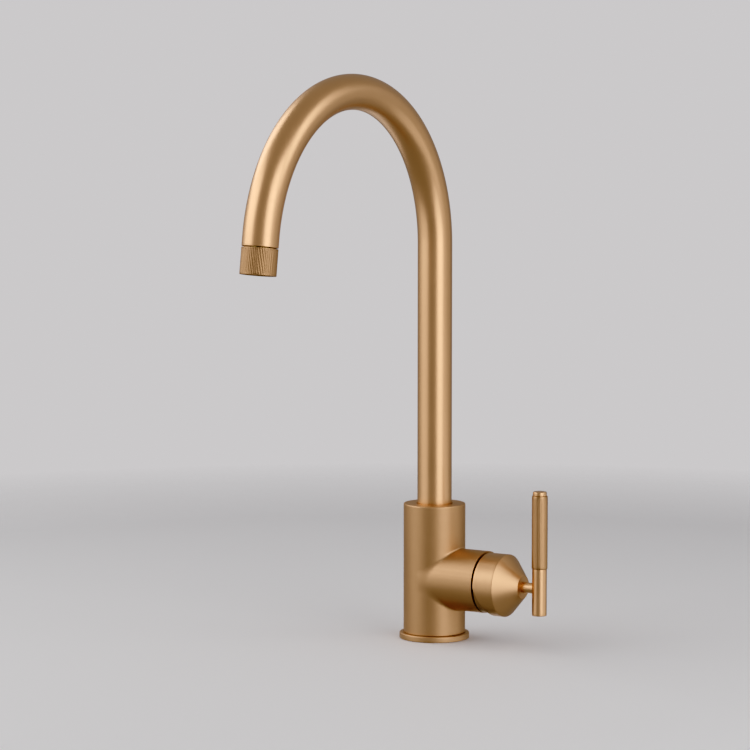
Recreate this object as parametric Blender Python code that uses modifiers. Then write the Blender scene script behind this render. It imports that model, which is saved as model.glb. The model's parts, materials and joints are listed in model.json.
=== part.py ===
"""Pull-down kitchen faucet with a swivelling gooseneck spout and a side lever.

Frame: the origin is on the body's vertical axis at the top of the deck, +Z is up, the spout
reaches towards -Y and the lever branch points along +X. Sizes are written in millimetres and
turned into metres by MM.
"""

import math

import bmesh
import bpy
from mathutils import Vector

MM = 0.001
GAP = 0.3  # clearance between touching pieces

# Spout: a round tube that rises, turns over in one arc and ends in a short straight tail
TUBE_R = 12.5
TUBE_WALL = 1.2
ARCH_R = 111.3
SPRING_Z = 287.7
ARCH_SWEEP = math.radians(171.9)
TAIL = 6.0
TUBE_BOTTOM_Z = 88.3

# Valve body and the branch that carries the lever
BODY_R = 22.5
BODY_BOTTOM_Z = 4.7
BODY_TOP_Z = 99.0
SPOUT_BORE_R = 12.9
SPOUT_BORE_Z = 65.0
PASSAGE_R = 6.9
BRANCH_R = 22.45
BRANCH_Z = 44.65
BRANCH_END = 44.5
CHAMBER_R = 18.0
CHAMBER_FLOOR = 13.4

# Base and clamp below the deck
FLANGE_R = 25.5
FLANGE_TOP_Z = 4.4
GASKET_R = 23.6
GASKET_TOP_Z = 0.8
DECK = 20.0
SHANK_R = 16.0
SHANK_BORE_R = 14.0
SHANK_TOP_Z = 14.0
SHANK_END_Z = -66.0
CLAMP_SCREWS = 3
CLAMP_SCREW_PITCH_R = 20.8

# Water ports: radius of the ring that they stand on, and the height of their cross drillings
PORT_RING = 10.6
PORTS = {"hot": (45.0, 36.5), "cold": (-45.0, 36.5), "outlet": (0.0, 50.5)}

# Handle: its axis lies a little below the branch's own, and the pivot on it is the centre of the
# dome that the cap turns over
HANDLE_Z = 43.5
PIVOT = 44.0
DOME_R = 20.5
CAP_R = 22.6
CAP_RIM = 45.8
CAP_EDGE = 61.6
CAP_TIP = 75.0
CAP_TIP_R = 8.2
CAP_BORE_R = 21.0
RIM_RELIEF = 8.5  # how far the rim is cut back at its lowest point
STEM_R = 3.8
BAR_X = 88.3
BAR_R = 5.3
BAR_BOTTOM_Z = 24.2
BAR_JOINT_Z = 58.1
GRIP_R = 5.7
GRIP_TOP_Z = 110.7
BAR_TOP_Z = 113.8

# Spray head, measured from the tube's end along the outlet
HEAD_SEAM = 0.6
HEAD_LENGTH = 18.3
HOSE_R = 6.0
CONNECTOR_UP = 12.0

OUTER_SIDES = 40  # facets round the largest outer shapes
SIDES = 32
SMALL_SIDES = 20
FASTENER_SIDES = 12

# Finishes: colour, metallic, roughness
BRUSHED_BRASS = ((0.60, 0.38, 0.18), 1.0, 0.34)
RAW_BRASS = ((0.68, 0.50, 0.24), 1.0, 0.42)
STEEL = ((0.62, 0.62, 0.63), 1.0, 0.35)
RUBBER = ((0.03, 0.03, 0.03), 0.0, 0.75)
CERAMIC = ((0.88, 0.88, 0.86), 0.0, 0.25)
GREY_PLASTIC = ((0.42, 0.44, 0.46), 0.0, 0.5)
BLACK_PLASTIC = ((0.05, 0.05, 0.055), 0.0, 0.5)
WHITE_PLASTIC = ((0.86, 0.86, 0.84), 0.0, 0.45)
BRAID = ((0.30, 0.31, 0.33), 0.2, 0.55)

ALONG_X = (0.0, math.radians(90.0), 0.0)  # turns a piece's own +Z to point along +X
ALONG_Y = (math.radians(-90.0), 0.0, 0.0)

for old in list(bpy.data.objects):
    bpy.data.objects.remove(old, do_unlink=True)

faucet = bpy.data.collections.new("pull_down_faucet")
cutters = bpy.data.collections.new("cutters")
bpy.context.scene.collection.children.link(faucet)
bpy.context.scene.collection.children.link(cutters)


def metres(point):
    return tuple(MM * value for value in point)


def make_material(name, finish):
    colour, metallic, roughness = finish
    material = bpy.data.materials.new(name)
    material.use_nodes = True
    shader = material.node_tree.nodes["Principled BSDF"]
    shader.inputs["Base Color"].default_value = (*colour, 1.0)
    shader.inputs["Metallic"].default_value = metallic
    shader.inputs["Roughness"].default_value = roughness
    return material


def axis_empty(name, place, rotation=(0.0, 0.0, 0.0), parent=None):
    """An empty on a joint's axis; `place` is in millimetres, in the parent's frame."""
    empty = bpy.data.objects.new(name, None)
    empty.location = metres(place)
    empty.rotation_euler = rotation
    empty.parent = parent
    faucet.objects.link(empty)
    return empty


def add_piece(name, mesh, finish, place=(0, 0, 0), rotation=(0, 0, 0), parent=None):
    """A named sub-part; without a finish it is a cutter or a shape to join on."""
    piece = bpy.data.objects.new(name, mesh)
    piece.location = metres(place)
    piece.rotation_euler = rotation
    piece.parent = parent
    if finish is None:
        piece.hide_render = True
        piece.display_type = "WIRE"
        cutters.objects.link(piece)
        return piece
    mesh.materials.append(make_material(name, finish))
    faucet.objects.link(piece)
    return piece


def turned(name, outline, finish, sides=SIDES, closed=False, **placing):
    """A solid of revolution; the outline's (radius, height) points run down the outer side."""
    mesh = bpy.data.meshes.new(name)
    points = [(MM * radius, 0.0, MM * height) for radius, height in outline]
    edges = [(i, i + 1) for i in range(len(points) - 1)]
    if closed:
        edges.append((len(points) - 1, 0))
    mesh.from_pydata(points, edges, [])
    piece = add_piece(name, mesh, finish, **placing)
    screw = piece.modifiers.new("turn", "SCREW")
    screw.axis = "Z"
    screw.steps = sides
    screw.render_steps = sides
    screw.use_merge_vertices = True
    screw.merge_threshold = 0.00001
    screw.use_smooth_shade = True
    return piece


def ring(name, inner, outer, bottom, top, finish, **placing):
    outline = [(outer, top), (outer, bottom), (inner, bottom), (inner, top)]
    return turned(name, outline, finish, closed=True, **placing)


def o_ring(name, radius, thickness, height, finish, sides=SMALL_SIDES, **placing):
    steps = 6
    outline = []
    for i in range(steps):
        angle = math.tau * i / steps
        outline.append((radius + thickness * math.sin(angle), height + thickness * math.cos(angle)))
    return turned(name, outline, finish, sides=sides, closed=True, **placing)


def arc(centre_r, centre_z, radius, start, end, steps):
    """Outline points on an arc, with angles in degrees from the +Z side towards +radius."""
    points = []
    for i in range(steps + 1):
        angle = math.radians(start + (end - start) * i / steps)
        points.append((centre_r + radius * math.sin(angle), centre_z + radius * math.cos(angle)))
    return points


def rod(name, radius, start, end, finish=None, sides=SMALL_SIDES, parent=None):
    """A plain cylinder between two points."""
    start = Vector(start)
    end = Vector(end)
    mesh = bpy.data.meshes.new(name)
    shape = bmesh.new()
    bmesh.ops.create_cone(
        shape, cap_ends=True, segments=sides, radius1=MM * radius, radius2=MM * radius,
        depth=MM * (end - start).length)
    shape.to_mesh(mesh)
    shape.free()
    mesh.shade_smooth()
    mesh.set_sharp_from_angle(angle=math.radians(40))
    rotation = (end - start).to_track_quat("Z", "Y").to_euler()
    return add_piece(name, mesh, finish, place=(start + end) / 2, rotation=rotation, parent=parent)


def box(name, size, place, rotation=(0, 0, 0)):
    mesh = bpy.data.meshes.new(name)
    shape = bmesh.new()
    bmesh.ops.create_cube(shape, size=1.0)
    bmesh.ops.scale(shape, vec=metres(size), verts=shape.verts)
    shape.to_mesh(mesh)
    shape.free()
    return add_piece(name, mesh, None, place=place, rotation=rotation)


def combine(piece, other, operation):
    boolean = piece.modifiers.new(other.name, "BOOLEAN")
    boolean.operation = operation
    boolean.solver = "EXACT"
    boolean.object = other


def cut(piece, *shapes):
    for shape in shapes:
        combine(piece, shape, "DIFFERENCE")


def curve_mesh(name, points, radius, bevel_resolution, caps):
    """The mesh of a round tube along the points, with its caps welded on."""
    curve = bpy.data.curves.new(name, "CURVE")
    curve.dimensions = "3D"
    curve.bevel_depth = MM * radius
    curve.bevel_resolution = bevel_resolution
    curve.use_fill_caps = caps
    curve.render_resolution_u = 0
    spline = curve.splines.new("POLY")
    spline.points.add(len(points) - 1)
    for control, point in zip(spline.points, points):
        control.co = (*metres(point), 1.0)
    guide = bpy.data.objects.new(name, curve)
    faucet.objects.link(guide)
    bpy.context.view_layer.update()
    evaluated = guide.evaluated_get(bpy.context.evaluated_depsgraph_get())
    mesh = bpy.data.meshes.new_from_object(evaluated)
    mesh.materials.clear()
    bpy.data.objects.remove(guide, do_unlink=True)
    shape = bmesh.new()
    shape.from_mesh(mesh)
    bmesh.ops.remove_doubles(shape, verts=shape.verts, dist=0.000001)
    shape.to_mesh(mesh)
    shape.free()
    mesh.shade_smooth()
    mesh.set_sharp_from_angle(angle=math.radians(40))
    return mesh


def arch_point(angle):
    """A point on the arch's centreline, `angle` radians on from the top of the riser."""
    return (0.0, ARCH_R * (math.cos(angle) - 1.0), SPRING_Z + ARCH_R * math.sin(angle))


def arch_points(last_angle, steps):
    return [arch_point(last_angle * i / steps) for i in range(steps + 1)]


# The outlet leaves the arch along its end tangent
outlet_way = Vector((0.0, -math.sin(ARCH_SWEEP), math.cos(ARCH_SWEEP)))
outlet_place = Vector(arch_point(ARCH_SWEEP)) + TAIL * outlet_way
outlet_tilt = (math.asin(outlet_way.y), 0.0, 0.0)

# Empties on the joints' axes
spout_axis = axis_empty("spout_axis", (0, 0, 0))
outlet_axis = axis_empty("outlet_axis", outlet_place, outlet_tilt, spout_axis)
temperature_axis = axis_empty("temperature_axis", (0, 0, HANDLE_Z))
flow_axis = axis_empty("flow_axis", (PIVOT, 0, 0), parent=temperature_axis)

# ---------------------------------------------------------------------------------------------
# Deck mounting


def make_mounting():
    ring("base_gasket", SHANK_R + 0.6, GASKET_R, 0.0, GASKET_TOP_Z, RUBBER)

    # The flange's skirt hides the gasket, which stands proud of it by the gap
    nose = 0.9
    seat_z = GASKET_TOP_Z + GAP
    flange = [(SHANK_R + 0.6, FLANGE_TOP_Z)]
    flange += arc(FLANGE_R - nose, FLANGE_TOP_Z - nose, nose, 0, 90, 2)
    flange += [(FLANGE_R, GAP), (GASKET_R + GAP, GAP), (GASKET_R + GAP, seat_z),
               (SHANK_R + 0.6, seat_z)]
    turned("base_flange", flange, BRUSHED_BRASS, sides=OUTER_SIDES, closed=True)

    ring("mounting_shank", SHANK_BORE_R, SHANK_R, SHANK_END_Z, SHANK_TOP_Z, RAW_BRASS)

    washer_r = 29.0
    rubber_z = -DECK - 3.0
    steel_z = rubber_z - GAP - 1.6
    ring("deck_washer_rubber", SHANK_R + 0.5, washer_r, rubber_z, -DECK, RUBBER)
    ring("deck_washer_steel", SHANK_R + 0.5, washer_r, steel_z, rubber_z - GAP, STEEL)

    nut_top = steel_z - GAP
    nut_height = 10.8
    nut_z = nut_top - nut_height / 2
    nut_corner_r = 28.0
    nut = rod("mounting_nut", nut_corner_r, (0, 0, nut_top - nut_height), (0, 0, nut_top),
              RAW_BRASS, sides=6)
    bevel = nut.modifiers.new("edges", "BEVEL")
    bevel.width = MM * 0.6
    bevel.segments = 1
    bevel.limit_method = "ANGLE"
    reach = nut_height
    cut(nut, rod("nut_thread", SHANK_R + GAP, (0, 0, nut_z - reach), (0, 0, nut_z + reach),
                 sides=SIDES))
    for number in range(CLAMP_SCREWS):
        angle = math.tau * number / CLAMP_SCREWS
        x = CLAMP_SCREW_PITCH_R * math.cos(angle)
        y = CLAMP_SCREW_PITCH_R * math.sin(angle)
        label = number + 1
        cut(nut, rod(f"clamp_hole_{label}", 2.8, (x, y, nut_z - reach), (x, y, nut_z + reach)))
        screw = [(0, nut_top), (2.1, nut_top), (2.5, nut_top - 0.6), (2.5, nut_top - 19),
                 (4.2, nut_top - 19), (4.2, nut_top - 23), (0, nut_top - 23)]
        turned(f"clamp_screw_{label}", screw, STEEL, sides=FASTENER_SIDES, place=(x, y, 0))


# ---------------------------------------------------------------------------------------------
# Valve body, its waterways and nipples


def port_place(angle):
    angle = math.radians(angle)
    return PORT_RING * math.cos(angle), PORT_RING * math.sin(angle)


def make_body():
    edge = 1.0
    outline = [(0, BODY_TOP_Z)]
    outline += arc(BODY_R - edge, BODY_TOP_Z - edge, edge, 0, 90, 2)
    outline += [(BODY_R, BODY_BOTTOM_Z), (0, BODY_BOTTOM_Z)]
    body = turned("valve_body", outline, BRUSHED_BRASS, sides=OUTER_SIDES)

    branch_edge = 0.4
    branch = [(0, BRANCH_END), (BRANCH_R - branch_edge, BRANCH_END),
              (BRANCH_R, BRANCH_END - branch_edge), (BRANCH_R, 0), (0, 0)]
    combine(body, turned("branch_shape", branch, None, sides=OUTER_SIDES, place=(0, 0, BRANCH_Z),
                         rotation=ALONG_X), "UNION")

    over = 2.0
    socket_top = SHANK_TOP_Z + GAP
    cut(body,
        rod("spout_bore", SPOUT_BORE_R, (0, 0, SPOUT_BORE_Z), (0, 0, BODY_TOP_Z + over),
            sides=SIDES),
        rod("hose_passage", PASSAGE_R, (0, 0, 0), (0, 0, SPOUT_BORE_Z + over)),
        rod("shank_socket", SHANK_R + GAP, (0, 0, 0), (0, 0, socket_top), sides=SIDES),
        rod("cartridge_chamber", CHAMBER_R, (CHAMBER_FLOOR, 0, HANDLE_Z),
            (BRANCH_END + over, 0, HANDLE_Z), sides=SIDES))

    nipple_seat = socket_top + 7.7
    for port, (angle, cross_z) in PORTS.items():
        x, y = port_place(angle)
        cut(body,
            rod(f"{port}_seat", 3.1, (x, y, socket_top - 1), (x, y, nipple_seat), sides=FASTENER_SIDES),
            rod(f"{port}_drilling", 2.0, (x, y, nipple_seat - 1), (x, y, cross_z + 1.2),
                sides=FASTENER_SIDES),
            rod(f"{port}_cross", 1.7, (x - 0.9, y, cross_z), (CHAMBER_FLOOR + over, y, cross_z),
                sides=FASTENER_SIDES))
        ring(f"{port}_nipple", 1.6, 2.8, -8.0, nipple_seat - GAP, RAW_BRASS, sides=FASTENER_SIDES,
             place=(x, y, 0))

    screw_z = 78.5
    cut(body, rod("retaining_hole", 2.8, (0, SPOUT_BORE_R - 1, screw_z),
                  (0, BODY_R + over, screw_z), sides=FASTENER_SIDES))
    screw = [(0, 22.0), (2.5, 22.0), (2.5, 13.4), (1.1, 13.4), (1.1, 10.9), (0, 10.9)]
    turned("spout_retaining_screw", screw, STEEL, sides=FASTENER_SIDES, place=(0, 0, screw_z),
           rotation=ALONG_Y)

    ring("hose_guide", PASSAGE_R - 0.3, SPOUT_BORE_R - GAP, SPOUT_BORE_Z + GAP,
         SPOUT_BORE_Z + 4.7, WHITE_PLASTIC)


# ---------------------------------------------------------------------------------------------
# Ceramic cartridge in the branch; heights are distances along +X from the body's axis


def cut_ports(piece, start, end):
    for port, (angle, cross_z) in PORTS.items():
        y = port_place(angle)[1]
        cut(piece, rod(f"{piece.name}_{port}", 1.8, (start - 1, y, cross_z), (end + 1, y, cross_z),
                       sides=FASTENER_SIDES))


def make_cartridge():
    placing = {"place": (0, 0, HANDLE_Z), "rotation": ALONG_X}
    ring("cartridge_seal", 13.6, 17.2, CHAMBER_FLOOR + GAP, 14.7, RUBBER, **placing)

    base = turned("cartridge_base", [(0, 19), (17.5, 19), (17.5, 15), (0, 15)], WHITE_PLASTIC,
                  **placing)
    cut_ports(base, 15, 19)

    fixed = turned("ceramic_disc_fixed", [(0, 22.3), (13, 22.3), (13, 19.3), (0, 19.3)], CERAMIC,
                   **placing)
    cut_ports(fixed, 19.3, 22.3)

    housing = [(17.5, 36), (17.5, 19.3), (15.5, 19.3), (15.5, 32.5), (11.5, 32.5), (11.5, 36)]
    turned("cartridge_housing", housing, GREY_PLASTIC, closed=True, **placing)
    ring("cartridge_nut", 12.5, 17.7, 36.3, 41, RAW_BRASS, **placing)

    # The dome's foot stands off the branch, which leaves the dark groove round the seam
    opening_r = 12.5
    inner_r = 18.6
    skirt_r = 16.0
    foot = BRANCH_END + 1.0
    dome = arc(0, PIVOT, DOME_R, math.degrees(math.asin(opening_r / DOME_R)),
               math.degrees(math.acos((foot - PIVOT) / DOME_R)), 6)
    dome += [(17.7, foot), (17.7, 41.3), (skirt_r, 41.3)]
    dome += arc(0, PIVOT, inner_r, math.degrees(math.asin(skirt_r / inner_r)),
                math.degrees(math.asin(opening_r / inner_r)), 2)
    turned("cartridge_dome", dome, BRUSHED_BRASS, closed=True, **placing)


def make_moving_disc():
    """The disc and its driver slide up and down on the fixed disc as the lever opens."""
    placing = {"parent": temperature_axis, "rotation": ALONG_X}
    disc = turned("ceramic_disc_moving", [(0, 25.6), (8.6, 25.6), (8.6, 22.6), (0, 22.6)], CERAMIC,
                  sides=SMALL_SIDES, **placing)
    mixing_well = rod("mixing_well", 5.5, (22, 0, HANDLE_Z), (24, 0, HANDLE_Z))
    cut(disc, mixing_well)
    ring("disc_driver", 2.3, 7.5, 25.9, 30.0, BLACK_PLASTIC, sides=SMALL_SIDES, **placing)


def make_carrier():
    """The turntable that holds the lever's pivot pin and turns for temperature."""
    outline = [(0, 50), (10.7, 50), (11.2, 49.5), (11.2, 32.2), (14.9, 32.2), (14.9, 30.3),
               (0, 30.3)]
    carrier = turned("spindle_carrier", outline, BLACK_PLASTIC, parent=temperature_axis,
                     rotation=ALONG_X)
    slot_low = -8.2
    slot_high = 8.3
    cut(carrier,
        box("carrier_slot", (24, 10.4, slot_high - slot_low),
            (40, 0, HANDLE_Z + (slot_low + slot_high) / 2)),
        rod("carrier_pin_hole", 2.0, (PIVOT, -13, HANDLE_Z), (PIVOT, 13, HANDLE_Z),
            sides=FASTENER_SIDES))
    rod("pivot_pin", 1.7, (PIVOT, -10.6, 0), (PIVOT, 10.6, 0), STEEL, sides=FASTENER_SIDES,
        parent=temperature_axis)


# ---------------------------------------------------------------------------------------------
# Lever: everything that tilts on the pivot pin


def make_lever():
    placing = {"parent": flow_axis, "place": (-PIVOT, 0, 0), "rotation": ALONG_X}

    ball_r = 1.9
    ball_x = 28.2
    neck_r = 1.3
    spindle = [(0, 68.8), (4.6, 68.8), (5, 68.4), (5, 50.5), (4.5, 50), (4.5, 35), (neck_r, 31.5)]
    spindle += arc(0, ball_x, ball_r, math.degrees(math.asin(neck_r / ball_r)), 180, 5)
    spindle[-1] = (0, ball_x - ball_r)
    shaft = turned("lever_spindle", spindle, STEEL, sides=SMALL_SIDES, **placing)
    cut(shaft, rod("spindle_pin_hole", 2.0, (PIVOT, -7, HANDLE_Z), (PIVOT, 7, HANDLE_Z),
                   sides=FASTENER_SIDES))

    floor = 63.5
    stem_r = STEM_R + GAP
    outline = [(stem_r, CAP_TIP), (CAP_TIP_R - 0.5, CAP_TIP), (CAP_TIP_R + 0.1, CAP_TIP - 0.3),
               (CAP_R, CAP_EDGE), (CAP_R, CAP_RIM + 0.3), (CAP_R - 0.3, CAP_RIM),
               (CAP_BORE_R, CAP_RIM), (CAP_BORE_R, 60.4), (17.7, floor), (5.3, floor), (5.3, 69.5),
               (stem_r, 69.5)]
    cap = turned("handle_cap", outline, BRUSHED_BRASS, sides=OUTER_SIDES, closed=True, **placing)

    # A slanting plane through the rim's middle clears the branch as the cap tilts, and the grub
    # screw that holds the cap on the spindle goes in from behind
    grub_x = 66.5
    relief = math.atan2(RIM_RELIEF, CAP_R)
    depth = 30.0
    rim_middle = Vector((CAP_RIM, 0, HANDLE_Z))
    inward = Vector((math.cos(relief), 0, math.sin(relief)))
    cut(cap,
        box("rim_relief", (depth, 60, 80), rim_middle - inward * depth / 2, (0, -relief, 0)),
        rod("grub_hole", 2.3, (grub_x, 5, HANDLE_Z), (grub_x, 22, HANDLE_Z), sides=FASTENER_SIDES))
    rod("cap_grub_screw", 2.0, (grub_x - PIVOT, 5.6, 0), (grub_x - PIVOT, 11, 0), STEEL,
        sides=FASTENER_SIDES, parent=flow_axis)

    stem = turned("handle_stem", [(0, 86), (STEM_R, 86), (STEM_R, 69.8), (0, 69.8)], BRUSHED_BRASS,
                  sides=SMALL_SIDES, **placing)
    cut(stem, rod("stem_saddle", BAR_R + GAP, (BAR_X, 0, HANDLE_Z - 10), (BAR_X, 0, HANDLE_Z + 10),
                  sides=SIDES))
    combine(stem, rod("stem_stud", 2.5, (80, 0, HANDLE_Z), (90.5, 0, HANDLE_Z)), "UNION")


def make_lever_bar():
    placing = {"parent": flow_axis, "place": (BAR_X - PIVOT, 0, -HANDLE_Z), "sides": SMALL_SIDES}
    core_r = 3.4
    core_top = GRIP_TOP_Z - 0.1
    end_z = GRIP_TOP_Z + GAP
    screw_z = end_z - 8
    outline = [(0, screw_z), (1.8, screw_z), (1.8, core_top), (core_r, core_top),
               (core_r, BAR_JOINT_Z), (BAR_R, BAR_JOINT_Z), (BAR_R, BAR_BOTTOM_Z + 0.5),
               (BAR_R - 0.5, BAR_BOTTOM_Z), (0, BAR_BOTTOM_Z)]
    bar = turned("lever_bar", outline, BRUSHED_BRASS, **placing)
    cut(bar, rod("stud_hole", 2.8, (BAR_X - 8, 0, HANDLE_Z), (BAR_X + 2.7, 0, HANDLE_Z)))

    grip = [(GRIP_R - 0.3, GRIP_TOP_Z), (GRIP_R, GRIP_TOP_Z - 0.3),
            (GRIP_R, BAR_JOINT_Z + GAP + 0.3), (GRIP_R - 0.3, BAR_JOINT_Z + GAP),
            (core_r + GAP, BAR_JOINT_Z + GAP), (core_r + GAP, GRIP_TOP_Z)]
    turned("lever_grip", grip, BRUSHED_BRASS, closed=True, **placing)

    end_r = 5.0
    round_r = 0.8
    end_cap = [(0, BAR_TOP_Z)]
    end_cap += arc(end_r - round_r, BAR_TOP_Z - round_r, round_r, 0, 90, 3)
    end_cap += [(end_r, end_z), (1.5, end_z), (1.5, screw_z + 1), (0, screw_z + 1)]
    turned("lever_end_cap", end_cap, BRUSHED_BRASS, **placing)


# ---------------------------------------------------------------------------------------------
# Spout: tube, the adapter that swivels in the body, the dock in its end and the hose inside


def make_spout():
    points = [(0, 0, TUBE_BOTTOM_Z), *arch_points(ARCH_SWEEP, 24), tuple(outlet_place)]
    tube = add_piece("spout_tube", curve_mesh("spout_tube", points, TUBE_R, 8, False),
                     BRUSHED_BRASS, parent=spout_axis)
    wall = tube.modifiers.new("wall", "SOLIDIFY")
    wall.thickness = MM * TUBE_WALL
    wall.offset = -1.0
    wall.use_even_offset = True

    rim = 12.4
    seat = 10.9
    notch = 10.4
    adapter = [(11, 96), (11, 88), (rim, 88), (rim, 85.2), (seat, 85.2), (seat, 82.6), (rim, 82.6),
               (rim, 80), (notch, 80), (notch, 77), (rim, 77), (rim, 74.4), (seat, 74.4),
               (seat, 71.8), (rim, 71.8), (rim, 70.3), (8.5, 70.3), (8.5, 96)]
    turned("spout_adapter", adapter, RAW_BRASS, sides=SMALL_SIDES, closed=True,
           parent=spout_axis)
    for label, height in (("upper", 83.9), ("lower", 73.1)):
        o_ring(f"spout_o_ring_{label}", 11.9, 0.7, height, RUBBER, parent=spout_axis)

    ring("nozzle_dock", 9.2, 10.7, HEAD_SEAM, 9.6, BLACK_PLASTIC, sides=SMALL_SIDES, parent=outlet_axis)


def make_hose():
    coupling_top = -50.0
    ring("hose_coupling", 4.0, 7.8, SHANK_END_Z, coupling_top, RAW_BRASS, sides=SMALL_SIDES,
         parent=spout_axis)
    bottom = coupling_top + GAP
    riser_steps = 6
    riser = [(0, 0, bottom + (SPRING_Z - bottom) * i / riser_steps) for i in range(riser_steps)]
    straight = 4.0
    end = outlet_place - (CONNECTOR_UP + GAP) * outlet_way
    bend = end - straight * outlet_way
    last_angle = ARCH_SWEEP - 22.0 / ARCH_R
    points = [*riser, *arch_points(last_angle, 18), tuple(bend), tuple(end)]
    add_piece("spray_hose", curve_mesh("spray_hose", points, HOSE_R, 2, True), BRAID,
              parent=spout_axis)


# ---------------------------------------------------------------------------------------------
# Spray head: the connector on the hose, and the knurled shell that turns on it


def make_head():
    collar_r = 6.2
    groove_r = 5.2
    flange_r = 8.2
    connector = [(collar_r, CONNECTOR_UP), (collar_r, -1.0), (groove_r, -1.0), (groove_r, -2.6),
                 (collar_r, -2.6), (collar_r, -3.2), (flange_r, -3.2), (flange_r, -5.0),
                 (3.5, -5.0), (3.5, CONNECTOR_UP)]
    turned("hose_connector", connector, RAW_BRASS, sides=SMALL_SIDES, closed=True, parent=outlet_axis)
    ring("dock_magnet", collar_r + GAP, 8.9, 2.0, 8.0, STEEL, sides=SMALL_SIDES, parent=outlet_axis)
    o_ring("connector_o_ring", 5.85, 0.42, -1.8, RUBBER, sides=SMALL_SIDES, parent=outlet_axis)

    top = -HEAD_SEAM
    bottom = top - HEAD_LENGTH
    edge = 0.4
    plate = top - 2.2
    shell = [(TUBE_R - edge, top), (TUBE_R, top - edge), (TUBE_R, bottom + edge),
             (TUBE_R - edge, bottom), (11, bottom), (11, plate), (6.5, plate), (6.5, top)]
    turned("nozzle_shell", shell, BRUSHED_BRASS, sides=OUTER_SIDES, closed=True, parent=outlet_axis)

    ring("aerator_washer", 7.0, 10.7, -6.8, -5.4, RUBBER, sides=SMALL_SIDES, parent=outlet_axis)
    ring("aerator_housing", 9.0, 10.7, bottom + 1.7, -7.1, BLACK_PLASTIC, sides=SMALL_SIDES,
         parent=outlet_axis)
    low = bottom + 2.2
    high = low + 2.2
    screen = turned("flow_straightener", [(0, high), (8.7, high), (8.7, low), (0, low)],
                    GREY_PLASTIC, sides=SMALL_SIDES, parent=outlet_axis)
    holes = 6
    for number in range(holes + 1):
        distance = 5.4 if number < holes else 0.0
        angle = math.tau * number / holes
        x = distance * math.cos(angle)
        y = distance * math.sin(angle)
        hole = rod(f"jet_{number}", 1.7, (x, y, low - 1), (x, y, high + 1), sides=8,
                   parent=outlet_axis)
        cut(screen, hole)


make_mounting()
make_body()
make_cartridge()
make_moving_disc()
make_carrier()
make_lever()
make_lever_bar()
make_spout()
make_hose()
make_head()
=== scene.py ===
"""Looks of the pull-down kitchen faucet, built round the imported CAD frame.

Sizes are in millimetres and MM turns them into metres. Turned pieces are written as (radius,
height, corner rounding) outlines about their own axis, and placed on one of the axes below.
"""

import json
import math

import bpy
import numpy as np
from mathutils import Matrix, Vector


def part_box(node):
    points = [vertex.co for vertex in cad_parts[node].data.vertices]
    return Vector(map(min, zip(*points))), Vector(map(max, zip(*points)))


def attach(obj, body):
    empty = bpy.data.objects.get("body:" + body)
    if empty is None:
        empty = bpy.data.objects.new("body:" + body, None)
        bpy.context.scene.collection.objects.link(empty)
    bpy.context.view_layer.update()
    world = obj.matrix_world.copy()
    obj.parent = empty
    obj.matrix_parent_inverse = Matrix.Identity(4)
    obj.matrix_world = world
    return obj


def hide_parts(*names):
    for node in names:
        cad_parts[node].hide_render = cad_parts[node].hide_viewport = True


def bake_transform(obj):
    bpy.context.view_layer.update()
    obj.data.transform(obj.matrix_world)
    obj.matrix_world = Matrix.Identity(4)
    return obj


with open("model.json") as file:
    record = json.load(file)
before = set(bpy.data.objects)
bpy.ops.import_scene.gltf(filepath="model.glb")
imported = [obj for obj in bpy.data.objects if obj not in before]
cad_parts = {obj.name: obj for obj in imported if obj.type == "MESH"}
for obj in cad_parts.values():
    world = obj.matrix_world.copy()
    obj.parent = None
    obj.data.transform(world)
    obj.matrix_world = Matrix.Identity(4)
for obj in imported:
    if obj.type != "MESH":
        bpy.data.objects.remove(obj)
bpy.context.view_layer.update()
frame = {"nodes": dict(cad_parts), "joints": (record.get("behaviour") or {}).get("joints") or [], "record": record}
joints = {joint["name"]: joint for joint in frame["joints"]}

MM = 0.001
GAP = 0.3  # clearance between touching pieces

# Driving sizes, the same as the CAD part's
# Spout tube: a riser, one arc and a straight tail
TUBE_R = 12.5
TUBE_BORE_R = 11.3
TUBE_BOTTOM_Z = 88.3
ARCH_R = 111.3
SPRING_Z = 287.7
ARCH_SWEEP = math.radians(171.9)
TAIL = 6.0

# Valve body, its bores and its side branch
BODY_R = 22.5
BODY_BOTTOM_Z = 4.7
BODY_TOP_Z = 99.0
SPOUT_BORE_R = 12.9
SPOUT_BORE_Z = 65.0
PASSAGE_R = 6.9
BRANCH_R = 22.45
BRANCH_Z = 44.65
BRANCH_END = 44.5
CHAMBER_R = 18.0
CHAMBER_FLOOR = 13.4
SCREW_Z = 78.5

# Shank and clamp below the deck
SHANK_R = 16.0
SHANK_BORE_R = 14.0
SHANK_TOP_Z = 14.0
SHANK_END_Z = -66.0
NUT_TOP = -25.2
NUT_HEIGHT = 10.8
CLAMP_SCREW_SPREAD = 20.8

# Handle: cap, dome, stem and bar
HANDLE_Z = 43.5
PIVOT = 44.0
CAP_R = 22.6
CAP_RIM = 45.8
CAP_LIFT = 8.5
DOME_HOLE_R = 12.5
GRUB_X = 66.5
BAR_X = 88.3
BAR_R = 5.3
BAR_BOTTOM_Z = 24.2
BAR_JOINT_Z = 58.1
GRIP_TOP_Z = 110.7
BAR_TOP_Z = 113.8

# Spray head, from the spout's end, and the hose
HEAD_TOP = -0.6
HEAD_BOTTOM = -18.9
HOSE_R = 6.0
COUPLING_TOP = -49.7
PULL = 250.0

# Sizes that only the looks have: the dome is drawn a little larger, with a thinner cap over it
DOME_R = 21.2
CAP_BORE_R = 21.7

# ---------------------------------------------------------------------------------------------
# Axes that the pieces are turned about

outlet_place = Vector(joints["nozzle_turn"]["pos_m"])
outlet_way = Vector(joints["nozzle_pull"]["axis"]).normalized()
outlet_tilt = Matrix.Rotation(math.asin(outlet_way.y), 4, "X")

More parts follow.
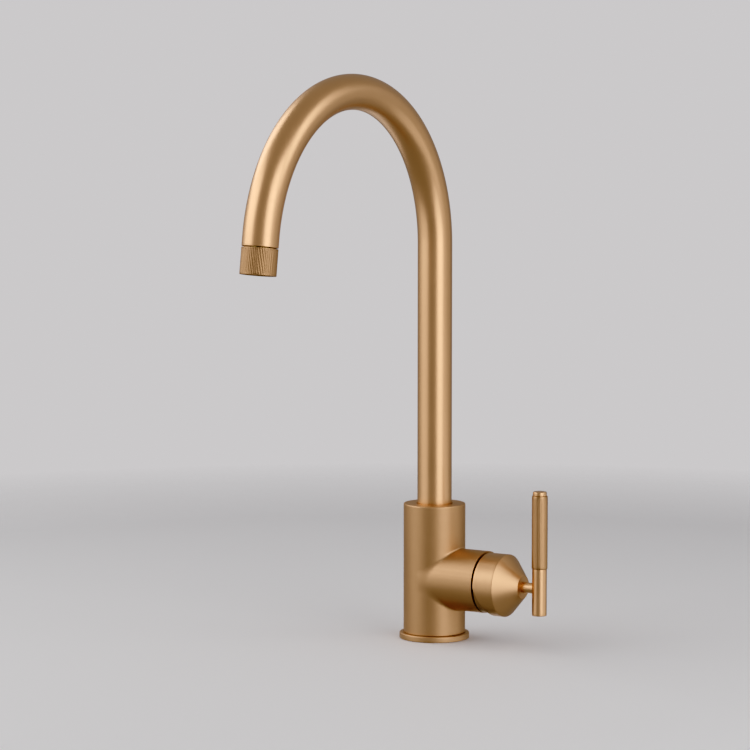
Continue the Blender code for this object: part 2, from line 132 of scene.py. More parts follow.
UPRIGHT = Matrix.Identity(4)
SIDEWAYS = Matrix.Rotation(math.radians(90), 4, "Y")
BRANCH = Matrix.Translation((0, 0, MM * BRANCH_Z)) @ SIDEWAYS
HANDLE = Matrix.Translation((0, 0, MM * HANDLE_Z)) @ SIDEWAYS
BACK = Matrix.Translation((0, 0, MM * SCREW_Z)) @ Matrix.Rotation(math.radians(-90), 4, "X")
GRUB = Matrix.Translation((MM * GRUB_X, 0, MM * HANDLE_Z)) @ Matrix.Rotation(
    math.radians(-90), 4, "X")
LEVER = Matrix.Translation((MM * BAR_X, 0, 0))
OUTLET = Matrix.Translation(outlet_place) @ outlet_tilt

# ---------------------------------------------------------------------------------------------
# Procedural materials


class Nodes:
    """Short ways to add and join a material's nodes."""

    def __init__(self, material):
        material.use_nodes = True
        self.tree = material.node_tree
        self.shader = self.tree.nodes["Principled BSDF"]

    def add(self, kind, **settings):
        node = self.tree.nodes.new(kind)
        for name, value in settings.items():
            setattr(node, name, value)
        return node

    def join(self, source, target):
        self.tree.links.new(source, target)

    def place(self, scale):
        """Object coordinates, scaled."""
        coordinates = self.add("ShaderNodeTexCoord")
        mapping = self.add("ShaderNodeMapping")
        mapping.inputs["Scale"].default_value = scale
        self.join(coordinates.outputs["Object"], mapping.inputs["Vector"])
        return mapping.outputs["Vector"]

    def noise(self, vector, scale, detail=3.0, roughness=0.5):
        noise = self.add("ShaderNodeTexNoise")
        noise.inputs["Scale"].default_value = scale
        noise.inputs["Detail"].default_value = detail
        noise.inputs["Roughness"].default_value = roughness
        self.join(vector, noise.inputs["Vector"])
        return noise.outputs["Fac"]

    def spread(self, value, low, high, low_in=0.3, high_in=0.7):
        """Maps a noise value to a range."""
        node = self.add("ShaderNodeMapRange")
        node.inputs["From Min"].default_value = low_in
        node.inputs["From Max"].default_value = high_in
        node.inputs["To Min"].default_value = low
        node.inputs["To Max"].default_value = high
        self.join(value, node.inputs["Value"])
        return node.outputs["Result"]

    def blend_colours(self, factor, first, second):
        mix = self.add("ShaderNodeMix", data_type="RGBA")
        mix.inputs["A"].default_value = (*first, 1.0)
        mix.inputs["B"].default_value = (*second, 1.0)
        self.join(factor, mix.inputs["Factor"])
        self.join(mix.outputs["Result"], self.shader.inputs["Base Color"])

    def bump(self, height, strength, distance):
        bump = self.add("ShaderNodeBump")
        bump.inputs["Strength"].default_value = strength
        bump.inputs["Distance"].default_value = distance
        self.join(height, bump.inputs["Height"])
        self.join(bump.outputs["Normal"], self.shader.inputs["Normal"])


def streak_vector(nodes, along_scale, across_scale):
    """Grain coordinates: quick to change along a piece's own axis and slow round it."""
    along = nodes.add("ShaderNodeAttribute", attribute_name="along")
    stretched = nodes.add("ShaderNodeMath", operation="MULTIPLY")
    stretched.inputs[1].default_value = along_scale
    nodes.join(along.outputs["Fac"], stretched.inputs[0])
    combined = nodes.add("ShaderNodeCombineXYZ")
    nodes.join(stretched.outputs[0], combined.inputs["X"])
    add = nodes.add("ShaderNodeVectorMath", operation="ADD")
    nodes.join(combined.outputs["Vector"], add.inputs[0])
    nodes.join(nodes.place((across_scale, across_scale, across_scale)), add.inputs[1])
    return add.outputs["Vector"]


def metal(name, bright, dark, roughness, grain=0.05, along_scale=1500.0):
    """Satin metal: colour drift, fine turned grain in roughness and height, faint handling marks."""
    material = bpy.data.materials.new(name)
    nodes = Nodes(material)
    nodes.shader.distribution = "GGX"
    nodes.shader.inputs["Metallic"].default_value = 1.0
    streaks = nodes.noise(streak_vector(nodes, along_scale, 25.0), 1.0, detail=4.0)
    speckle = nodes.noise(nodes.place((1, 1, 1)), 2600.0, detail=2.0)
    cloud = nodes.noise(nodes.place((1, 1, 1)), 22.0, detail=3.0)
    nodes.blend_colours(nodes.spread(cloud, 0.0, 1.0), dark, bright)
    fine = nodes.add("ShaderNodeMath", operation="ADD")
    nodes.join(nodes.spread(streaks, 0.0, 0.05), fine.inputs[0])
    nodes.join(nodes.spread(cloud, roughness - 0.035, roughness), fine.inputs[1])
    nodes.join(fine.outputs[0], nodes.shader.inputs["Roughness"])
    height = nodes.add("ShaderNodeMath", operation="ADD")
    nodes.join(streaks, height.inputs[0])
    nodes.join(nodes.spread(speckle, 0.0, 0.5), height.inputs[1])
    nodes.bump(height.outputs[0], grain, 0.0002)
    return material


def plain(name, first, second, roughness, scale=400.0, bump=0.05):
    """Moulded plastic, rubber or ceramic: two close colours and a fine moulded texture."""
    material = bpy.data.materials.new(name)
    nodes = Nodes(material)
    cloud = nodes.noise(nodes.place((1, 1, 1)), scale * 0.1)
    fine = nodes.noise(nodes.place((1, 1, 1)), scale * 5.0, detail=2.0)
    nodes.blend_colours(nodes.spread(cloud, 0.0, 1.0), first, second)
    nodes.join(nodes.spread(fine, roughness - 0.05, roughness + 0.05),
               nodes.shader.inputs["Roughness"])
    nodes.bump(fine, bump, 0.0002)
    return material


def braided(name, pitch=0.004, strands=12):
    """Two crossed sets of strands wound round the hose."""
    material = bpy.data.materials.new(name)
    nodes = Nodes(material)
    along = nodes.add("ShaderNodeAttribute", attribute_name="along")
    around = nodes.add("ShaderNodeAttribute", attribute_name="around")
    waves = []
    for lean in (1.0, -1.0):
        phase = nodes.add("ShaderNodeMath", operation="MULTIPLY_ADD")
        phase.inputs[1].default_value = lean * math.tau / pitch
        turns = nodes.add("ShaderNodeMath", operation="MULTIPLY")
        turns.inputs[1].default_value = strands * math.tau
        nodes.join(around.outputs["Fac"], turns.inputs[0])
        nodes.join(along.outputs["Fac"], phase.inputs[0])
        nodes.join(turns.outputs[0], phase.inputs[2])
        sine = nodes.add("ShaderNodeMath", operation="SINE")
        nodes.join(phase.outputs[0], sine.inputs[0])
        waves.append(sine.outputs[0])
    high = nodes.add("ShaderNodeMath", operation="MAXIMUM")
    nodes.join(waves[0], high.inputs[0])
    nodes.join(waves[1], high.inputs[1])
    nodes.blend_colours(nodes.spread(high.outputs[0], 0.0, 1.0, 0.0, 1.0), (0.05, 0.05, 0.055),
                        (0.42, 0.43, 0.45))
    nodes.bump(high.outputs[0], 0.6, 0.0006)
    nodes.shader.inputs["Roughness"].default_value = 0.5
    return material


def brass(name, shade, roughness, grain=0.05, along_scale=1500.0):
    """The faucet's one brass finish; `shade` is painted shade that darkens a piece's whole colour."""
    bright = (0.81 * shade, 0.472 * shade, 0.26 * shade)
    dark = (0.77 * shade, 0.448 * shade, 0.247 * shade)
    return metal(name, bright, dark, roughness, grain, along_scale)


BRASS = brass("brushed_brass", 1.0, 0.33)
# Painted shade: the body and flange brass is the tube's brass darkened to 0.80, for the lower body catching less
# light.
BODY_BRASS_PAINTED_SHADE = brass("body_brass_painted_shade", 0.80, 0.47, grain=0.08, along_scale=1100.0)
# Painted shade: the cap's brass is the tube's brass darkened to 0.88.
CAP_BRASS_PAINTED_SHADE = brass("cap_brass_painted_shade", 0.88, 0.40, grain=0.06)
# Painted shade: the dome's brass is darkened to 0.72 for the shadow under the cap's rim.
DOME_BRASS_PAINTED_SHADE = brass("dome_brass_painted_shade", 0.72, 0.40)
# Painted shade: the knurled brass is darkened to 0.60 for the shade in its grooves.
KNURL_PAINTED_SHADE = brass("knurled_brass", 0.60, 0.48, grain=0.03)
# Painted shade: the grip's brass is the tube's brass darkened to 0.72.
GRIP_BRASS_PAINTED_SHADE = brass("grip_brass_painted_shade", 0.72, 0.36, grain=0.03)
RAW = metal("raw_brass", (0.78, 0.57, 0.26), (0.70, 0.50, 0.22), 0.40, grain=0.12,
            along_scale=2500.0)
STEEL = metal("steel", (0.66, 0.66, 0.67), (0.58, 0.58, 0.59), 0.33, grain=0.1)
RUBBER = plain("seal_rubber", (0.022, 0.022, 0.023), (0.035, 0.035, 0.035), 0.68, bump=0.2)
CERAMIC = plain("ceramic", (0.86, 0.86, 0.84), (0.90, 0.90, 0.88), 0.22, bump=0.01)
GREY_PLASTIC = plain("grey_plastic", (0.38, 0.40, 0.42), (0.44, 0.46, 0.48), 0.45)
BLACK_PLASTIC = plain("black_plastic", (0.035, 0.035, 0.038), (0.05, 0.05, 0.052), 0.45)
WHITE_PLASTIC = plain("white_plastic", (0.82, 0.82, 0.79), (0.88, 0.88, 0.86), 0.42)
BRAID = braided("hose_braid")

FINISHES = {
    "brushed_brass": BRASS,
    "knurled_brass": KNURL_PAINTED_SHADE,
    "raw_brass": RAW,
    "steel": STEEL,
    "seal_rubber": RUBBER,
    "ceramic": CERAMIC,
    "grey_plastic": GREY_PLASTIC,
    "black_plastic": BLACK_PLASTIC,
    "white_plastic": WHITE_PLASTIC,
    "hose_braid": BRAID,
}
slot_of = {part["node"]: part["material_slot"] for part in frame["record"]["subparts"]}
body_of = {}
for body, nodes_of_body in frame["record"]["behaviour"]["bodies"].items():
    for node_name in nodes_of_body:
        body_of[node_name] = body

# ---------------------------------------------------------------------------------------------
# Mesh tools


def rounded(outline, steps=5):
    """An outline's points, with each (radius, height, rounding) corner turned into an arc."""
    count = len(outline)
    points = []
    for i, corner in enumerate(outline):
        here = Vector(corner[:2])
        size = corner[2] if len(corner) > 2 else 0.0
        if size == 0.0:
            points.append(tuple(here))
            continue
        before = (Vector(outline[i - 1][:2]) - here).normalized()
        after = (Vector(outline[(i + 1) % count][:2]) - here).normalized()
        half = before.angle(after) / 2
        reach = size / math.tan(half)
        middle = here + (before + after).normalized() * (size / math.sin(half))
        start = here + before * reach - middle
        end = here + after * reach - middle
        turn = start.angle_signed(end)
        for step in range(steps + 1):
            angle = -turn * step / steps
            spun = Vector((start.x * math.cos(angle) - start.y * math.sin(angle),
                           start.x * math.sin(angle) + start.y * math.cos(angle)))
            points.append(tuple(middle + spun))
    return points


def densified(points, closed, longest):
    """Adds points so that no stretch of the outline is longer than `longest`."""
    result = []
    pairs = list(zip(points, points[1:] + points[:1])) if closed else list(zip(points, points[1:]))
    for (r0, z0), (r1, z1) in pairs:
        steps = max(1, math.ceil(math.hypot(r1 - r0, z1 - z0) / longest))
        result += [(r0 + (r1 - r0) * k / steps, z0 + (z1 - z0) * k / steps) for k in range(steps)]
    if not closed:
        result.append(points[-1])
    return result


def mesh_object(name, vertices, faces, along, sharp=35.0, around=None):
    mesh = bpy.data.meshes.new(name)
    mesh.from_pydata([tuple(v) for v in vertices], [], faces)
    attribute = mesh.attributes.new("along", "FLOAT", "POINT")
    attribute.data.foreach_set("value", np.asarray(along, np.float32))
    if around is not None:
        attribute = mesh.attributes.new("around", "FLOAT", "POINT")
        attribute.data.foreach_set("value", np.asarray(around, np.float32))
    mesh.shade_smooth()
    mesh.set_sharp_from_angle(angle=math.radians(sharp))
    piece = bpy.data.objects.new(name, mesh)
    bpy.context.scene.collection.objects.link(piece)
    return piece


def lathe(name, outline, axis=UPRIGHT, sides=128, closed=False, steps=5, longest=None, wave=None,
          sharp=35.0):
    """Turns an outline, in millimetres, that runs down the outer side. `wave` moves points."""
    points = rounded(outline, steps)
    if longest:
        points = densified(points, closed, longest)
    vertices = []
    along = []
    rings = []
    for radius, height in points:
        if radius < 1e-6:
            rings.append([len(vertices)])
            vertices.append(axis @ Vector((0, 0, MM * height)))
            along.append(MM * height)
            continue
        rings.append(list(range(len(vertices), len(vertices) + sides)))
        for k in range(sides):
            angle = math.tau * k / sides
            r, turn = wave(radius, height, angle) if wave else (radius, angle)
            local = Vector((MM * r * math.cos(turn), MM * r * math.sin(turn), MM * height))
            vertices.append(axis @ local)
            along.append(MM * (height + radius))
    faces = []
    pairs = list(zip(rings, rings[1:]))
    if closed:
        pairs.append((rings[-1], rings[0]))
    for upper, lower in pairs:
        for k in range(sides):
            n = (k + 1) % sides
            if len(upper) == 1 and len(lower) == 1:
                break
            if len(upper) == 1:
                faces.append((upper[0], lower[k], lower[n]))
            elif len(lower) == 1:
                faces.append((upper[k], lower[0], upper[n]))
            else:
                faces.append((upper[k], lower[k], lower[n], upper[n]))
    return mesh_object(name, vertices, faces, along, sharp)


def finish_piece(piece, node, material=None):
    """Puts a piece in the place of one CAD node, with that node's body and slot."""
    piece.data.materials.clear()
    piece.data.materials.append(material or FINISHES[slot_of[node]])
    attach(piece, body_of[node])
    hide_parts(node)
    return piece


def applied(piece):
    """Replaces a piece's mesh by what its modifiers make of it."""
    bpy.context.view_layer.update()
    evaluated = piece.evaluated_get(bpy.context.evaluated_depsgraph_get())
    mesh = bpy.data.meshes.new_from_object(evaluated)
    piece.modifiers.clear()
    piece.data = mesh
    return piece


def cut(piece, *cutters, operation="DIFFERENCE"):
    for cutter in cutters:
        boolean = piece.modifiers.new("cut", "BOOLEAN")
        boolean.operation = operation
        boolean.solver = "EXACT"
        boolean.object = cutter
    applied(piece)
    for cutter in cutters:
        bpy.data.objects.remove(cutter, do_unlink=True)
    return piece


def reshaded(piece, sharp=35.0):
    piece.data.shade_smooth()
    piece.data.set_sharp_from_angle(angle=math.radians(sharp))
    return piece


def knurl(flutes, depth, low, high, outer, lean=0.0, fade=0.5):
    """Moves a turned surface's points into rounded flutes that lean by `lean` radians a mm."""

    def wave(radius, height, angle):
        turn = angle + lean * (height - low)
        if radius < outer - 0.05 or not low < height < high:
            return radius, turn
        reach = min((height - low) / fade, (high - height) / fade, 1.0)
        groove = abs(math.sin(flutes * angle / 2))
        return radius - depth * reach * (1 - groove), turn

    return wave


def thread(radius, low, high, pitch, depth):
    """Cuts a screw thread into the part of a turned surface that has this radius."""

    def wave(here, height, angle):
        if abs(here - radius) > 0.05 or not low < height < high:
            return here, angle
        turn = (height / pitch - angle / math.tau) % 1.0
        reach = min((height - low) / pitch, (high - height) / pitch, 1.0)
        return here - depth * reach * abs(2 * turn - 1), angle

    return wave


def hex_socket(axis, radius, top, bottom):
    """A cutter for the key hole in a screw's head."""
    return lathe("hex_socket", [(0, top), (radius, top), (radius, bottom), (0, bottom)], axis, sides=6)


def honeycomb(name, pitch, hole, reach, top, bottom, axis):
    """One mesh of hexagonal rods in a close grid, to cut a flow straightener with."""
    vertices = []
    faces = []
    count = math.ceil(reach / pitch) + 1
    for row in range(-count, count + 1):
        for column in range(-count, count + 1):
            x = pitch * (column + 0.5 * (row % 2))
            y = pitch * row * math.sqrt(0.75)
            if math.hypot(x, y) > reach:
                continue
            first = len(vertices)
            for height in (top, bottom):
                for k in range(6):
                    angle = math.radians(60 * k + 30)
                    vertices.append(axis @ (MM * Vector((
                        x + hole * math.cos(angle), y + hole * math.sin(angle), height))))
            faces.append(tuple(first + k for k in range(6)))
            faces.append(tuple(first + 11 - k for k in range(6)))
            for k in range(6):
                n = (k + 1) % 6
                faces.append((first + k, first + 6 + k, first + 6 + n, first + n))
    return mesh_object(name, vertices, faces, [0.0] * len(vertices))


# ---------------------------------------------------------------------------------------------
# Camera, seen from the front and the handle's side

CAMERA_PLACE = (1.2940, -2.0974, 0.4454)
CAMERA_DOWN = 5.86  # degrees below level
CAMERA_TURN = 32.68  # degrees round from facing +Y
CAMERA_BEARING = -58.3  # degrees from +X to the camera, seen from the faucet
LENS = 164.0
SENSOR = 36.0


def make_camera():
    camera = bpy.data.objects.new("camera", bpy.data.cameras.new("camera"))
    camera.data.lens = LENS
    camera.data.sensor_width = SENSOR
    camera.location = CAMERA_PLACE
    camera.rotation_euler = (math.radians(90 - CAMERA_DOWN), 0.0, math.radians(CAMERA_TURN))
    bpy.context.scene.collection.objects.link(camera)
    bpy.context.scene.camera = camera


# ---------------------------------------------------------------------------------------------
# Valve body: two cylinders run into each other with a soft fillet


def capped_cylinder(radial, height, radius, low, high, edge):
    """Signed distance to a cylinder with rounded edges, by numpy arrays."""
    middle = (low + high) / 2
    half = (high - low) / 2
    out_r = radial - (radius - edge)
    out_h = np.abs(height - middle) - (half - edge)
    outside = np.hypot(np.maximum(out_r, 0), np.maximum(out_h, 0))
    return outside + np.minimum(np.maximum(out_r, out_h), 0) - edge


def body_distance(points):
    x, y, z = points.T
    column = capped_cylinder(np.hypot(x, y), z, BODY_R, BODY_BOTTOM_Z - 3, BODY_TOP_Z, 0.7)
    branch = capped_cylinder(np.hypot(y, z - BRANCH_Z), x, BRANCH_R, 0.0, BRANCH_END + 3, 0.5)
    fillet = 1.5
    h = np.clip(0.5 + 0.5 * (branch - column) / fillet, 0, 1)
    return branch * (1 - h) + column * h - fillet * h * (1 - h)


def body_gradient(points):
    step = 0.01
    slopes = []
    for axis in np.eye(3) * step:
        slopes.append(body_distance(points + axis) - body_distance(points - axis))
    gradient = np.stack(slopes, axis=1)
    return gradient / np.maximum(np.linalg.norm(gradient, axis=1, keepdims=True), 1e-9)


def make_body():
    column = [(0, BODY_TOP_Z), (BODY_R, BODY_TOP_Z), (BODY_R, BODY_BOTTOM_Z - 3),
              (0, BODY_BOTTOM_Z - 3)]
    branch = [(0, BRANCH_END + 3), (BRANCH_R, BRANCH_END + 3), (BRANCH_R, 0), (0, 0)]
    body = lathe("body_casting", column, sides=96)
    cut(body, lathe("branch_shape", branch, BRANCH, sides=96), operation="UNION")
    remesh = body.modifiers.new("remesh", "REMESH")
    remesh.mode = "VOXEL"
    remesh.voxel_size = MM * 0.6
    applied(body)
    points = np.array([vertex.co for vertex in body.data.vertices]) / MM
    for _ in range(6):  # settles the even mesh onto the exact filleted surface
        points -= body_distance(points)[:, None] * body_gradient(points)
    body.data.vertices.foreach_set("co", (points * MM).astype(np.float32).ravel())
    body.data.update()

    wide = 40.0
    bore = [(0, BODY_TOP_Z + 5), (SPOUT_BORE_R + 5.4, BODY_TOP_Z + 5), (SPOUT_BORE_R, BODY_TOP_Z - 0.4),
            (SPOUT_BORE_R, SPOUT_BORE_Z), (PASSAGE_R, SPOUT_BORE_Z), (PASSAGE_R, 12), (0, 12)]
    socket = [(0, SHANK_TOP_Z + GAP), (SHANK_R + GAP, SHANK_TOP_Z + GAP),
              (SHANK_R + GAP, BODY_BOTTOM_Z), (wide, BODY_BOTTOM_Z), (wide, BODY_BOTTOM_Z - 6),
              (0, BODY_BOTTOM_Z - 6)]
    chamber = [(0, BRANCH_END + 6), (wide, BRANCH_END + 6), (wide, BRANCH_END),
               (CHAMBER_R + 0.4, BRANCH_END), (CHAMBER_R, BRANCH_END - 0.4),
               (CHAMBER_R, CHAMBER_FLOOR), (0, CHAMBER_FLOOR)]
    screw_hole = [(0, BODY_R + 2), (2.8, BODY_R + 2), (2.8, SPOUT_BORE_R - 1), (0, SPOUT_BORE_R - 1)]
    cut(body, lathe("bore", bore, sides=96), lathe("socket", socket, sides=96),
        lathe("chamber", chamber, HANDLE, sides=96), lathe("screw_hole", screw_hole, BACK, sides=32))
    heights = [vertex.co.z for vertex in body.data.vertices]
    attribute = body.data.attributes.get("along") or body.data.attributes.new(
        "along", "FLOAT", "POINT")
    attribute.data.foreach_set("value", np.array(heights, np.float32))
    finish_piece(reshaded(body, 40.0), "valve_body", BODY_BRASS_PAINTED_SHADE)

    screw = [(0, 22), (2.5, 22, 0.3), (2.5, 13.4, 0.2), (1.1, 13.2), (1.1, 10.9, 0.3), (0, 10.9)]
    screw_piece = lathe("spout_screw", screw, BACK, sides=48, longest=0.4,
                        wave=thread(2.5, 13.6, 21.0, 0.8, 0.3))
    cut(screw_piece, hex_socket(BACK, 1.45, 22.5, 19.6))
    finish_piece(reshaded(screw_piece), "spout_retaining_screw")


# ---------------------------------------------------------------------------------------------
# Base and deck clamp


def make_base():
    gasket = [(23.6, 0.8, 0.2), (23.6, 0, 0.1), (16.6, 0), (16.6, 0.8)]
    finish_piece(lathe("gasket", gasket, closed=True, sides=96), "base_gasket")
    flange = [(16.6, 4.4), (25.5, 4.4, 0.8), (25.5, 0.3, 0.2), (23.9, 0.3, 0.1), (23.9, 1.1),
              (16.6, 1.1)]
    finish_piece(lathe("flange", flange, closed=True, sides=192, steps=8), "base_flange", BODY_BRASS_PAINTED_SHADE)


def make_clamp():
    """Threaded shank, washers, the nut with its clamp screws, and the water nipples."""
    shank = [(SHANK_BORE_R, 14), (SHANK_R, 14, 0.4), (SHANK_R, SHANK_END_Z, 0.6),
             (SHANK_BORE_R, SHANK_END_Z)]
    finish_piece(lathe("shank", shank, closed=True, sides=96, longest=0.375,
                       wave=thread(SHANK_R, SHANK_END_Z + 1, -7, 1.5, 0.8)), "mounting_shank")

    rubber = [(16.5, -20), (29, -20, 0.5), (29, -23, 0.5), (16.5, -23)]
    finish_piece(lathe("rubber_washer", rubber, closed=True), "deck_washer_rubber")
    steel = [(16.5, -23.3), (29, -23.3, 0.2), (29, -24.9, 0.5), (16.5, -24.9)]
    finish_piece(lathe("steel_washer", steel, closed=True), "deck_washer_steel")

    bottom = NUT_TOP - NUT_HEIGHT
    corner = 28.0
    corners_forward = Matrix.Rotation(math.radians(30), 4, "Z")
    nut = lathe("nut", [(0, NUT_TOP), (corner, NUT_TOP), (corner, bottom), (0, bottom)],
                corners_forward, sides=6)
    chamfer = [(0, NUT_TOP), (24.6, NUT_TOP), (corner + 1, NUT_TOP - 2.4), (corner + 1, bottom + 2.4),
               (24.6, bottom), (0, bottom)]
    cut(nut, lathe("nut_chamfer", chamfer, sides=96), operation="INTERSECT")
    bore = [(0, NUT_TOP + 1), (17.9, NUT_TOP + 1), (16.3, NUT_TOP - 0.6), (16.3, bottom + 0.6),
            (17.9, bottom - 1), (0, bottom - 1)]
    holes = [lathe("nut_bore", bore, sides=96)]
    for number in range(3):
        angle = math.tau * number / 3
        way = Vector((math.cos(angle), math.sin(angle), 0))
        spot = Matrix.Translation(MM * CLAMP_SCREW_SPREAD * way)
        hole = [(0, NUT_TOP + 1), (2.8, NUT_TOP + 1), (2.8, bottom - 1), (0, bottom - 1)]
        holes.append(lathe("screw_hole", hole, spot, sides=32))
        head = NUT_TOP - 19
        screw = [(0, NUT_TOP), (2.1, NUT_TOP), (2.5, NUT_TOP - 0.6), (2.5, head), (4.2, head, 0.3),
                 (4.2, head - 4, 0.5), (0, head - 4)]
        screw_piece = lathe(f"clamp_screw_piece_{number + 1}", screw, spot, sides=48, longest=0.4,
                            wave=thread(2.5, head + 0.5, NUT_TOP - 0.8, 0.8, 0.35))
        cut(screw_piece, hex_socket(spot, 2.3, head - 1.6, head - 5))
        finish_piece(reshaded(screw_piece), f"clamp_screw_{number + 1}")
    cut(nut, *holes)
    finish_piece(reshaded(nut), "mounting_nut")

    for label in ("hot", "cold", "outlet"):
        node = f"{label}_nipple"
        low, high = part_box(node)
        axis = Matrix.Translation(((low[0] + high[0]) / 2, (low[1] + high[1]) / 2, 0))
        barbs = [(1.6, 21.7), (2.8, 21.7, 0.3), (2.8, 0, 0.2), (2.3, -0.2)]
        for barb in (-1.4, -3.5, -5.6):
            barbs += [(2.3, barb), (2.8, barb - 0.3), (2.3, barb - 2.1)]
        barbs += [(2.3, -8), (1.6, -8)]
        finish_piece(lathe(f"{label}_inlet", barbs, axis, sides=48, closed=True), node)

    coupling = [(4, -50), (7.8, -50, 0.5), (7.8, -57), (6.9, -57.6), (6.9, -58.8), (7.8, -59.4),
                (7.8, SHANK_END_Z, 0.6), (4, SHANK_END_Z)]
    finish_piece(lathe("coupling", coupling, closed=True, sides=64), "hose_coupling")


# ---------------------------------------------------------------------------------------------
# Spout tube and the hose inside it


def spout_path():
    """Points and directions along the tube's centreline, from the bottom up, over and down."""
    spots = []
    riser = 24
    for i in range(riser):
        z = TUBE_BOTTOM_Z + (SPRING_Z - TUBE_BOTTOM_Z) * i / riser
        spots.append((Vector((0, 0, z)), Vector((0, 0, 1))))
    turns = 132
    for i in range(turns + 1):
        angle = ARCH_SWEEP * i / turns
        spot = Vector((0, ARCH_R * (math.cos(angle) - 1), SPRING_Z + ARCH_R * math.sin(angle)))
        spots.append((spot, Vector((0, -math.sin(angle), math.cos(angle)))))
    end = outlet_place / MM
    start = spots[-1][0]
    for i in range(1, 4):
        spots.append((start.lerp(end, i / 3), spots[-1][1].copy()))
    return spots


def sweep(name, spots, rings, sides=96, sharp=35.0):
    """Sweeps an outline of (spot index, shift along the way, radius) rings round a path."""
    vertices = []
    along = []
    around = []
    lengths = [0.0]
    for (a, _), (b, _) in zip(spots, spots[1:]):
        lengths.append(lengths[-1] + (b - a).length)
    across = Vector((1, 0, 0))
    for index, shift, radius in rings:
        spot, way = spots[index]
        other = way.cross(across)
        for k in range(sides):
            angle = math.tau * k / sides
            ray = across * math.cos(angle) + other * math.sin(angle)
            vertices.append(MM * (spot + way * shift + ray * radius))
            along.append(MM * (lengths[index] + shift))
            around.append(k / sides)
    faces = []
    count = len(rings)
    for i in range(count):
        j = (i + 1) % count
        for k in range(sides):
            n = (k + 1) % sides
            faces.append((i * sides + k, i * sides + n, j * sides + n, j * sides + k))
    return mesh_object(name, vertices, faces, along, sharp, around)


def make_spout():
    spots = spout_path()
    last = len(spots) - 1
    lip = 0.35
    rings = [(i, 0.0, TUBE_R) for i in range(last)]
    for step in range(5):
        angle = math.radians(90) * step / 4
        rings.append((last, -lip + lip * math.sin(angle), TUBE_R - lip + lip * math.cos(angle)))
    rings.append((last, 0.0, TUBE_BORE_R + 0.1))
    rings.append((last, -0.1, TUBE_BORE_R))
    rings += [(i, 0.0, TUBE_BORE_R) for i in range(last - 1, -1, -1)]
    finish_piece(sweep("gooseneck", spots, rings), "spout_tube")

    dock = [(9.2, 9.6, 0.2), (10.7, 9.6, 0.3), (10.7, 0.6, 0.3), (9.2, 0.6, 0.5)]
    finish_piece(lathe("dock", dock, OUTLET, closed=True, sides=96), "nozzle_dock")


def hose_spot(length):
    """Centreline of the hose, `length` millimetres back along it from the outlet."""
    way = outlet_way
    straight = outlet_place / MM - way * length
    angle = ARCH_SWEEP - (length - TAIL) / ARCH_R
    if angle < 0:
        return Vector((0, 0, SPRING_Z + angle * ARCH_R))
    arch = Vector((0, ARCH_R * (math.cos(angle) - 1), SPRING_Z + ARCH_R * math.sin(angle)))
    share = min(max((length - 14.0) / 18.0, 0.0), 1.0)
    return straight.lerp(arch, share * share * (3 - 2 * share))


def hose_tube(name, lengths, grain):
    """A solid round hose through the given lengths; `grain` holds the braid's own lengths."""
    sides = 48
    vertices = []
    along = []
    around = []
    across = Vector((1, 0, 0))
    for length, drawn in zip(lengths, grain):
        spot = hose_spot(length)
        way = (hose_spot(length - 0.1) - hose_spot(length + 0.1)).normalized()
        other = way.cross(across)
        for k in range(sides):
            angle = math.tau * k / sides
            vertices.append(MM * (spot + (across * math.cos(angle) + other * math.sin(angle)) * HOSE_R))
            along.append(MM * drawn)
            around.append(abs(2 * k / sides - 1) if k else 1.0)
    faces = [tuple(range(sides)), tuple(reversed(range(len(vertices) - sides, len(vertices))))]
    for i in range(len(lengths) - 1):
        for k in range(sides):
            n = (k + 1) % sides
            faces.append(((i + 1) * sides + k, (i + 1) * sides + n, i * sides + n, i * sides + k))
    return mesh_object(name, vertices, faces, along, 50.0, around)


def make_hose():
    """The hose lies still in the spout; its last stretch is built at rest, as a piece of its own."""
    near = 12.3  # lengths back from the outlet: the hose end in its connector
    far = 34.0  # and the start of the stretch that draws out
    full = TAIL + ARCH_R * ARCH_SWEEP + SPRING_Z - COUPLING_TOP
    still = np.linspace(far, full, 240)
    finish_piece(hose_tube("hose_run", still, still), "spray_hose")

    share = np.linspace(0.0, 1.0, 2001)
    drawn = (far - near) * share + PULL * share ** 2 * (3 - 2 * share)
    even = np.linspace(0.0, drawn[-1], 240)
    moving = far - (far - near) * np.interp(even, drawn, share)
    outer = hose_tube("hose_end_run", moving, far - even)
    outer.data.materials.append(BRAID)
    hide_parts("spray_hose")
    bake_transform(outer)


# ---------------------------------------------------------------------------------------------
# Spray head


